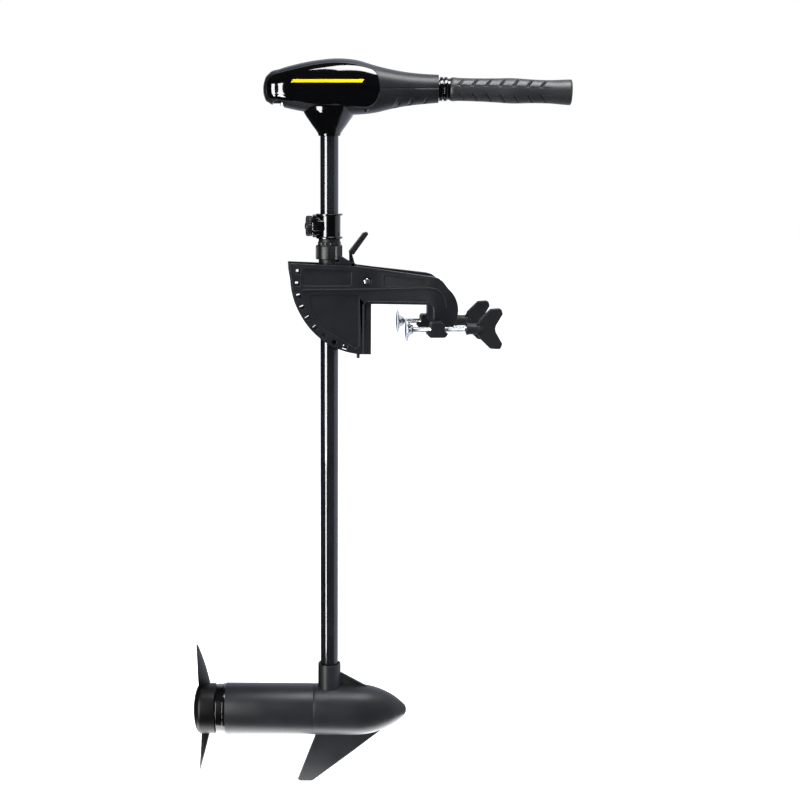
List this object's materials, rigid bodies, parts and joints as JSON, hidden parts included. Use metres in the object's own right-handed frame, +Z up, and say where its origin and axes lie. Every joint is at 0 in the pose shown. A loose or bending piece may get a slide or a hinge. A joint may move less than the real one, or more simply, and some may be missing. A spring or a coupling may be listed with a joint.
{
  "type": "trolling motor",
  "caption": "Transom-mount electric trolling motor with tilting quadrant bracket, adjustable shaft, telescoping twist-grip tiller and finned underwater motor.",
  "frame": {"origin": "where the bracket's transom-bearing face meets the underside that sits on the transom's top, on the bracket's middle plane", "axes": "+X out of the transom-bearing face into the boat, +Z up along the shaft, +Y across the bracket"},
  "size_m": [0.5849, 0.1434, 1.1561],
  "materials": {
    "bracket_plastic": "satin",
    "control_plastic": "satin",
    "wing_plastic": "satin",
    "head_plastic": "satin",
    "panel_gloss": "gloss",
    "shaft_composite": "gloss",
    "tiller_gloss": "gloss",
    "grip_rubber": "satin",
    "grip_plastic": "satin",
    "motor_paint": "satin",
    "bell_paint": "gloss",
    "prop_plastic": "satin",
    "stainless": "satin",
    "zinc_steel": "satin",
    "brass": "satin",
    "nylon": "satin",
    "wire_jacket": "satin",
    "switch_body": "satin",
    "magnet": "matte",
    "winding": "satin",
    "seal_rubber": "matte"
  },
  "bodies": {
    "bracket": {"bracket_body": "bracket_plastic", "tilt_pin": "stainless", "tilt_pin_clip": "stainless", "screw_inserts": "brass"},
    "swivel": {"swivel_block": "bracket_plastic", "swivel_bushings": "nylon", "lever_pin": "stainless", "lever_spring": "zinc_steel"},
    "tension_nut": {"tension_nut": "control_plastic"},
    "release_lever": {"release_lever": "control_plastic"},
    "lock_bar": {"lock_bar": "zinc_steel"},
    "depth_collar": {"depth_collar": "control_plastic", "collar_insert": "brass"},
    "collar_knob": {"collar_knob": "control_plastic", "knob_screw": "stainless"},
    "shaft": {"shaft_tube": "shaft_composite", "lead_wires": "wire_jacket", "head_base": "head_plastic", "head_cover": "head_plastic", "side_panel_near": "panel_gloss", "side_panel_far": "panel_gloss", "cable_gland": "grip_plastic", "head_screws": "stainless", "speed_switch": "switch_body", "shaft_clip": "stainless", "motor_can": "motor_paint", "nose_housing": "motor_paint", "rear_bell": "bell_paint", "field_magnets": "magnet", "brush_plate": "switch_body", "brushes": "magnet", "motor_bearings": "stainless", "shaft_seal": "seal_rubber", "through_bolts": "stainless"},
    "rotor": {"armature": "winding", "commutator": "winding", "motor_shaft": "stainless", "propeller": "prop_plastic", "drive_pin": "stainless", "prop_washer": "stainless", "prop_nut": "stainless"},
    "switch_rod": {"switch_rod": "zinc_steel"},
    "tiller": {"tiller_tube": "tiller_gloss", "tiller_ferrule": "tiller_gloss"},
    "grip": {"grip_core": "grip_plastic", "grip_sleeve": "grip_rubber", "grip_cap": "grip_plastic"},
    "pad_near": {"clamp_pad_near": "zinc_steel"},
    "screw_near": {"clamp_screw_near": "zinc_steel", "wing_near": "wing_plastic"},
    "pad_far": {"clamp_pad_far": "zinc_steel"},
    "screw_far": {"clamp_screw_far": "zinc_steel", "wing_far": "wing_plastic"}
  },
  "joints": [
    {"name": "tilt", "type": "hinge", "parent": "bracket", "child": "swivel", "pos_m": [-0.007, 0, 0.035], "axis": [0, 1, 0], "range_deg": [0, 80]},
    {"name": "lever", "type": "hinge", "parent": "swivel", "child": "release_lever", "pos_m": [-0.028, 0, 0.06], "axis": [0, 1, 0], "range_deg": [0, 35.2]},
    {"name": "lock_slide", "type": "slide", "parent": "swivel", "child": "lock_bar", "axis": [-0.3173, 0, -0.9483], "range_m": [0, 0.0065]},
    {"name": "tension_turn", "type": "hinge", "parent": "swivel", "child": "tension_nut", "pos_m": [-0.063, 0, 0.08], "axis": [0, 0, 1], "range_deg": [-90, 270]},
    {"name": "steer", "type": "hinge", "parent": "swivel", "child": "depth_collar", "pos_m": [-0.063, 0, 0.119], "axis": [0, 0, 1], "continuous": true},
    {"name": "collar_knob_turn", "type": "hinge", "parent": "depth_collar", "child": "collar_knob", "pos_m": [-0.09284, 0.00314, 0.119], "axis": [-0.9945, 0.1045, 0], "range_deg": [0, 720]},
    {"name": "depth", "type": "slide", "parent": "depth_collar", "child": "shaft", "axis": [0, 0, 1], "range_m": [-0.115, 0.45]},
    {"name": "propeller_spin", "type": "hinge", "parent": "shaft", "child": "rotor", "pos_m": [-0.2619, 0.02091, -0.6616], "axis": [0.9945, -0.1045, 0], "continuous": true},
    {"name": "tiller_slide", "type": "slide", "parent": "shaft", "child": "tiller", "axis": [0.9942, -0.1045, -0.0262], "range_m": [0, 0.11]},
    {"name": "grip_twist", "type": "hinge", "parent": "tiller", "child": "grip", "pos_m": [0.2104, -0.02874, 0.3228], "axis": [0.9942, -0.1045, -0.0262], "range_deg": [-75, 120]},
    {"name": "switch_turn", "type": "hinge", "parent": "shaft", "child": "switch_rod", "pos_m": [-0.063, 0, 0.33], "axis": [0.9942, -0.1045, -0.0262], "range_deg": [-75, 120]},
    {"name": "screw_near_turn", "type": "hinge", "parent": "pad_near", "child": "screw_near", "pos_m": [0.1, -0.054, -0.036], "axis": [1, 0, 0], "range_deg": [-4700, 3980]},
    {"name": "pad_near_slide", "type": "slide", "parent": "bracket", "child": "pad_near", "axis": [1, 0, 0], "range_m": [-0.026, 0.022]},
    {"name": "screw_far_turn", "type": "hinge", "parent": "pad_far", "child": "screw_far", "pos_m": [0.1, 0.054, -0.036], "axis": [1, 0, 0], "range_deg": [-4700, 3980]},
    {"name": "pad_far_slide", "type": "slide", "parent": "bracket", "child": "pad_far", "axis": [1, 0, 0], "range_m": [-0.026, 0.022]}
  ],
  "couplings": [
    {"joint": "lever", "follows": "lock_slide", "rad_per_m": 93.979},
    {"joint": "switch_turn", "follows": "grip_twist", "ratio": 1},
    {"joint": "screw_near_turn", "follows": "pad_near_slide", "rad_per_m": 3141.6},
    {"joint": "screw_far_turn", "follows": "pad_far_slide", "rad_per_m": 3141.6}
  ]
}
